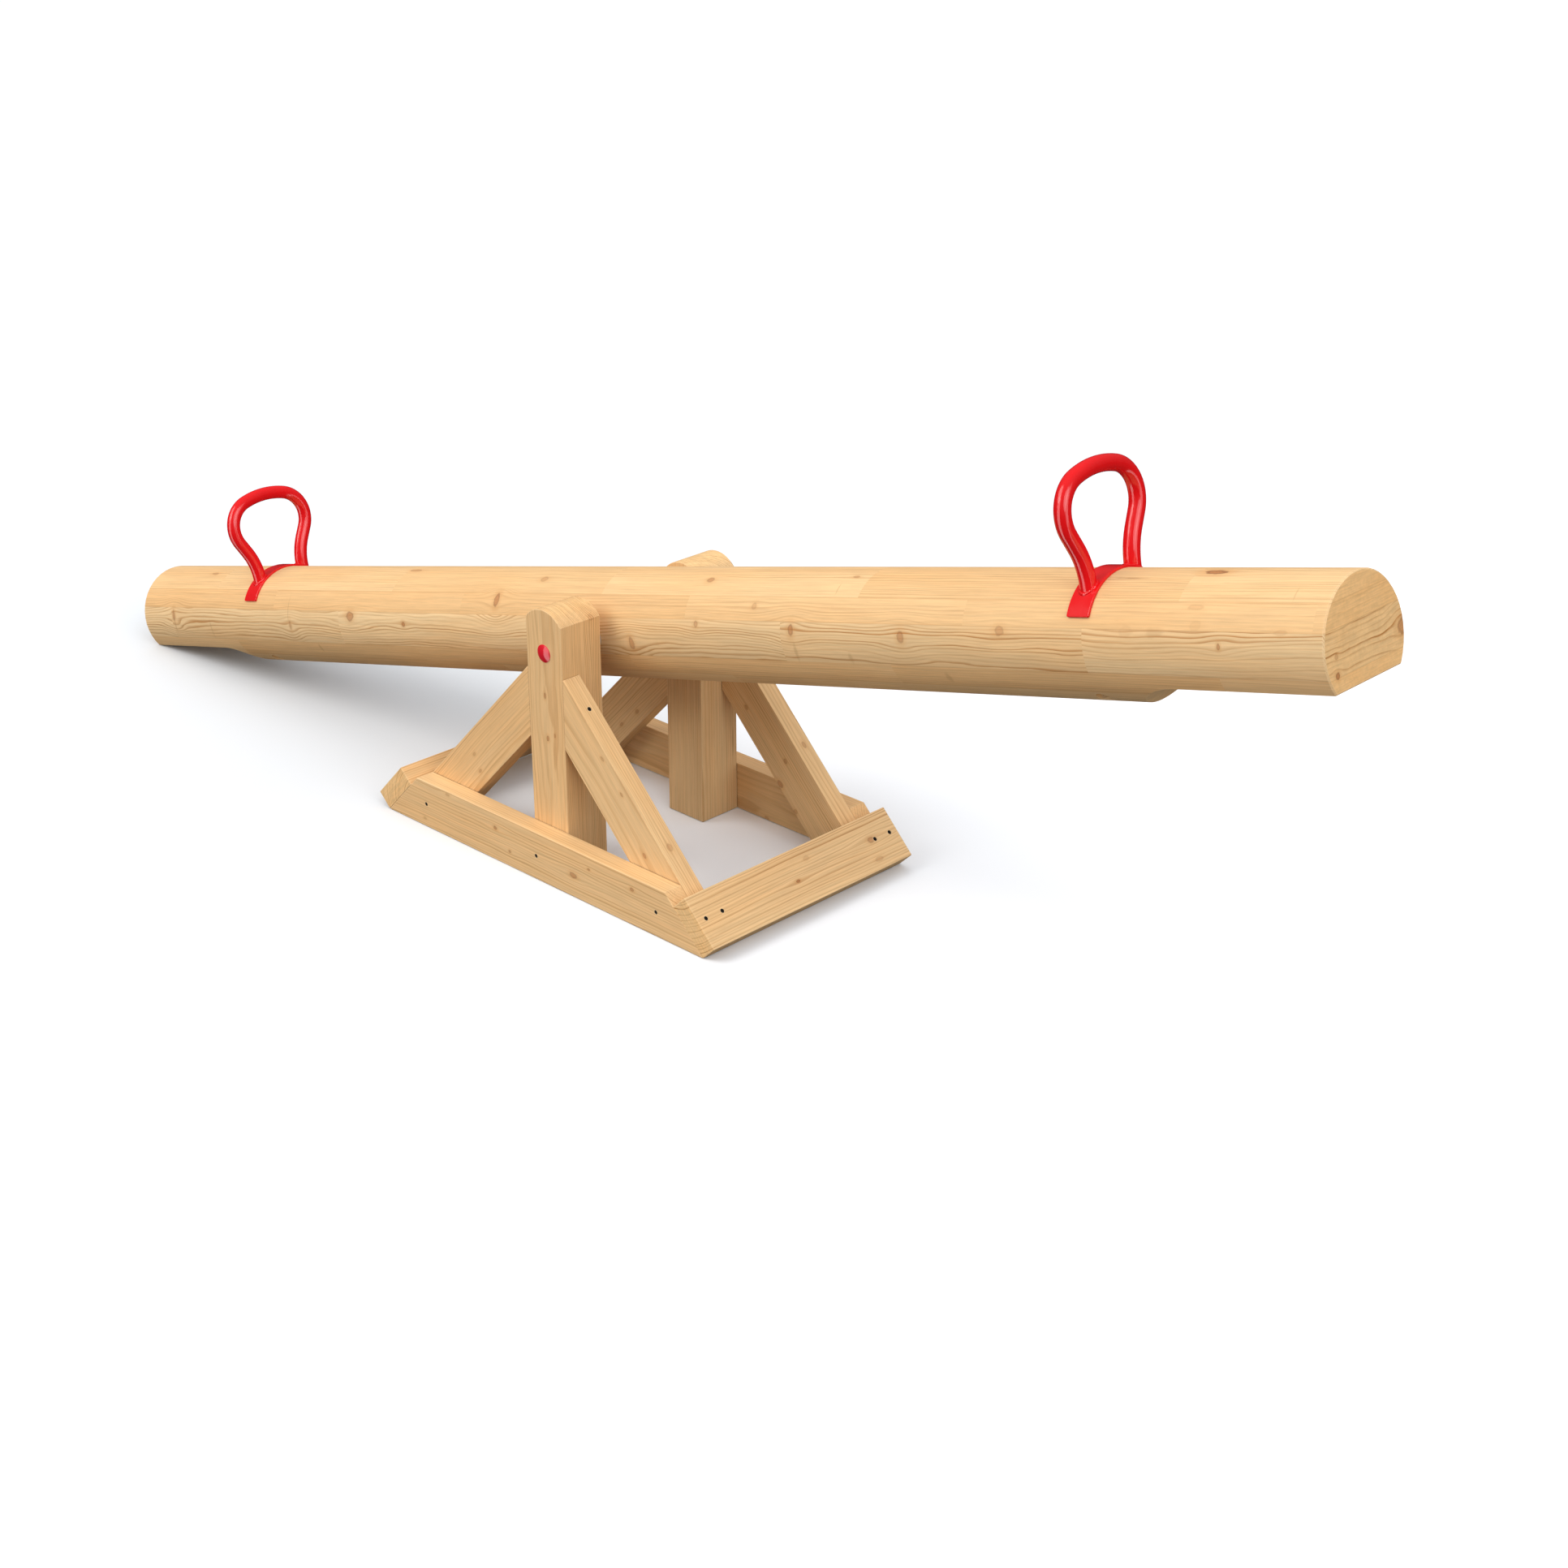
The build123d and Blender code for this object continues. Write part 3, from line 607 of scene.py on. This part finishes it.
def zinc(name):
    """Bright plated steel with a fine spangle."""
    graph = material_graph(name)
    grain = graph.noise(graph.place, (700, 700, 700), 3.0, 0.7)
    patch = graph.noise(graph.place, (60, 60, 60), 2.0)
    colour = graph.mix(patch, rgb(0.55, 0.56, 0.56), rgb(0.68, 0.68, 0.65))
    rough = graph.smooth(grain, 0.3, 0.7, 0.28, 0.42)
    return graph.finish(colour, rough, graph.bump(grain, 0.00004), Metallic=1.0)


def black_steel(name):
    """Dull phosphated screws, near black; their dark colour is partly painted shade, standing for
    the shade deep in the screw holes.
    """
    graph = material_graph(name)
    grain = graph.noise(graph.place, (900, 900, 900), 3.0, 0.7)
    colour = graph.mix(grain, rgb(0.012, 0.009, 0.007), rgb(0.035, 0.026, 0.020))
    rough = graph.smooth(grain, 0.3, 0.7, 0.5, 0.7)
    return graph.finish(colour, rough, graph.bump(grain, 0.00004), Specular_IOR_Level=0.25)


def nylon(name):
    """Natural moulded nylon."""
    graph = material_graph(name)
    grain = graph.noise(graph.place, (900, 900, 900), 2.0)
    colour = graph.mix(graph.noise(graph.place, (40, 40, 40), 2.0),
                       rgb(0.74, 0.72, 0.65), rgb(0.80, 0.78, 0.71))
    return graph.finish(colour, graph.smooth(grain, 0.2, 0.8, 0.45, 0.6),
                        graph.bump(grain, 0.00004))


finishes = {
    "red_coating": coating("red_coating", rgb(0.74, 0.006, 0.008), 0.10),
    "cap_plastic": coating("cap_plastic", rgb(0.72, 0.012, 0.025), 0.10),
    "zinc_steel": zinc("zinc_steel"),
    "black_steel": black_steel("black_steel"),
    "nylon": nylon("nylon"),
}
timber_names = {timber.name for timber in timbers}
for name, node in nodes.items():
    if name not in timber_names:
        paint(name, finishes[node.material_slots[0].material.name.split(".")[0]])

# ---- Weld beads where the legs of the hand grips meet their straps
HANDLE_ALONG = 1.083                # from the axle, along the log
LEG_ACROSS = 0.0529                 # from the log's middle to the middle of a leg
TUBE_RADIUS = 0.013
STRAP_THICKNESS = 0.004
STRAP_RADIUS = log_radius + STRAP_THICKNESS
BEAD_RADIUS = 0.0024
BEAD_LINE = TUBE_RADIUS + 0.0004    # from the middle of a leg to the middle of its bead
BEAD_RIPPLES = 22
BEAD_STEPS = 132
BEAD_SIDES = 10


def weld_bead(name, along, across):
    """A rippled bead round one leg, on the strap's curved face."""
    def centre(turn):
        """The line where the tube's outer face meets the strap."""
        side = across + BEAD_LINE * sin(turn)
        height = sqrt(STRAP_RADIUS ** 2 - side ** 2)
        return pivot + along_log * (along + BEAD_LINE * cos(turn)) + Y * side + log_up * height

    nudge = 0.01
    points, faces = [], []
    for step in range(BEAD_STEPS):
        turn = 2 * pi * step / BEAD_STEPS
        ahead = (centre(turn + nudge) - centre(turn - nudge)).normalized()
        outward = (along_log * cos(turn) + Y * sin(turn)).normalized()
        upward = ahead.cross(outward).normalized()
        outward = upward.cross(ahead)
        ripple = 1 + 0.12 * abs(sin(BEAD_RIPPLES * turn / 2)) + 0.05 * sin(3 * turn + 1)
        for side in range(BEAD_SIDES):
            angle = 2 * pi * side / BEAD_SIDES
            reach = outward * cos(angle) + upward * sin(angle)
            points.append(centre(turn) + reach * BEAD_RADIUS * ripple)
            after = (side + 1) % BEAD_SIDES
            row, next_row = step * BEAD_SIDES, (step + 1) % BEAD_STEPS * BEAD_SIDES
            faces.append((row + side, row + after, next_row + after, next_row + side))
    mesh = bpy.data.meshes.new(name)
    mesh.from_pydata(points, [], faces)
    mesh.shade_smooth()
    bead = bpy.data.objects.new(name, mesh)
    bpy.context.scene.collection.objects.link(bead)
    mesh.materials.append(finishes["red_coating"])
    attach(bead, "beam")


for end, along in (("left", -HANDLE_ALONG), ("right", HANDLE_ALONG)):
    for depth, across in (("near", -LEG_ACROSS), ("far", LEG_ACROSS)):
        weld_bead(f"weld_bead_{end}_{depth}", along, across)


# ---- Floor
FLOOR_SIZE = 80
FLOOR_GAP = 0.0005          # keeps the floor from lying in the same plane as the rails' faces
# painted shade: the floor is darker towards the low end, and a little blue to cool the warm light
# the wood bounces onto it
FLOOR_LOW_END, FLOOR_RAISED_END = rgb(0.76, 0.78, 0.80), rgb(0.90, 0.91, 0.93)
FLOOR_TURN = (-0.7, 0.2)                    # x where its painted shade begins and ends fading out
FLOOR_BOUNCE = rgb(0.18, 0.17, 0.16)        # what it sends back onto the object


def floor():
    """Plain white ground with painted shade that makes it darker towards the log's low end, and
    clear from underneath.
    """
    bpy.ops.mesh.primitive_plane_add(size=FLOOR_SIZE, location=(0, 0, -FLOOR_GAP))
    plane = bpy.context.object
    plane.name = "floor"
    graph = material_graph("floor_white")
    paler = graph.smooth(graph.split(graph.place)[0], *FLOOR_TURN)
    colour = graph.mix(paler, FLOOR_LOW_END, FLOOR_RAISED_END)
    seen = graph.add("LightPath").outputs["Is Camera Ray"]
    colour = graph.mix(seen, FLOOR_BOUNCE, colour)
    grain = graph.noise(graph.place, (3, 3, 3), 2.0)
    top = graph.principled(colour, 0.9, graph.bump(grain, 0.00005), Specular_IOR_Level=0.0)
    from_below = graph.add("NewGeometry").outputs["Backfacing"]
    clear = graph.add("BsdfTransparent").outputs["BSDF"]
    sides = graph.add("MixShader")
    for socket, value in zip(sides.inputs, (from_below, top, clear)):
        graph.put(socket, value)
    plane.data.materials.append(graph.output(sides.outputs["Shader"]))
    plane.visible_glossy = False


# ---- Light
SUN_SOFTNESS = 40                           # degrees of sky that each softbox covers
DOME_TINT = (0.98, 1.0, 1.03)
LIGHTING_DOME = (0.47, 1.10)                # brightness at the horizon and overhead
REFLECTED_DOME = (0.04, 0.35)
REFLECTED_CARDS = (((-0.275, -0.961, 0), 3.4), ((0.997, 0.071, 0), 2.6))    # heading, brightness
CARD_SIDES = (0.93, 0.98)                   # cosine from its heading, where it begins and is full
CARD_TOP = (0.75, 0.55)                     # sine of its elevation, where it begins and is full


def sun(name, direction, strength, colour=(1, 1, 1)):
    """Even light from one direction, as from a large softbox."""
    data = bpy.data.lights.new(name, "SUN")
    data.energy = strength
    data.angle = radians(SUN_SOFTNESS)
    data.color = colour
    lamp = bpy.data.objects.new(name, data)
    lamp.rotation_euler = Vector(direction).to_track_quat("Z", "Y").to_euler()
    bpy.context.scene.collection.objects.link(lamp)


def sky():
    """A dome that brightens overhead, and a darker one with two tall cards for reflections."""
    graph = Graph(bpy.data.worlds.new("studio"), "Generated")
    height = graph.split(graph.place)[2]
    heading = graph.vector("NORMALIZE", graph.vector("MULTIPLY", graph.place, (1, 1, 0)))
    below_top = graph.smooth(height, *CARD_TOP)
    cards = 0.0
    for direction, brightness in REFLECTED_CARDS:
        alignment = graph.vector("DOT_PRODUCT", heading, direction)
        card = graph.smooth(alignment, *CARD_SIDES, 0.0, brightness)
        cards = graph.math("MULTIPLY_ADD", card, below_top, cards)
    lighting, reflected = (
        graph.scaled(DOME_TINT, graph.ramp(height, 0.0, 1.0, horizon, overhead))
        for horizon, overhead in (LIGHTING_DOME, REFLECTED_DOME))
    reflected = graph.vector("ADD", reflected, graph.scaled((1, 1, 1), cards))
    rays = graph.add("LightPath").outputs
    light = graph.mix(rays["Is Glossy Ray"], lighting, reflected)
    background = graph.add("Background")
    graph.put(background.inputs["Color"], graph.mix(rays["Is Camera Ray"], light, rgb(1, 1, 1)))
    bpy.context.scene.world = graph.output(background.outputs[0], "OutputWorld")


# ---- Camera, from a perspective fit of the photo
CAMERA_PLACE = (3.1085, -2.8309, 2.0455)
CAMERA_HEADING = 44.06                      # degrees, from +Y towards -X
CAMERA_DIP = 24.835                         # degrees below level
CAMERA_LENS, CAMERA_SENSOR = 58.46, 36.0    # mm
CAMERA_REACH = 200


def camera():
    """The photo's view."""
    data = bpy.data.cameras.new("camera")
    data.lens = CAMERA_LENS
    data.sensor_width = CAMERA_SENSOR
    data.clip_end = CAMERA_REACH
    viewer = bpy.data.objects.new("camera", data)
    viewer.location = CAMERA_PLACE
    viewer.rotation_euler = (radians(90 - CAMERA_DIP), 0, radians(CAMERA_HEADING))
    bpy.context.scene.collection.objects.link(viewer)
    bpy.context.scene.camera = viewer


floor()
sky()
sun("key", (-0.45, -0.62, 0.64), 1.41, (1.0, 0.98, 0.95))
sun("fill", (0.78, -0.25, 0.58), 1.07)
camera()
bpy.context.scene.view_settings.view_transform = "Standard"
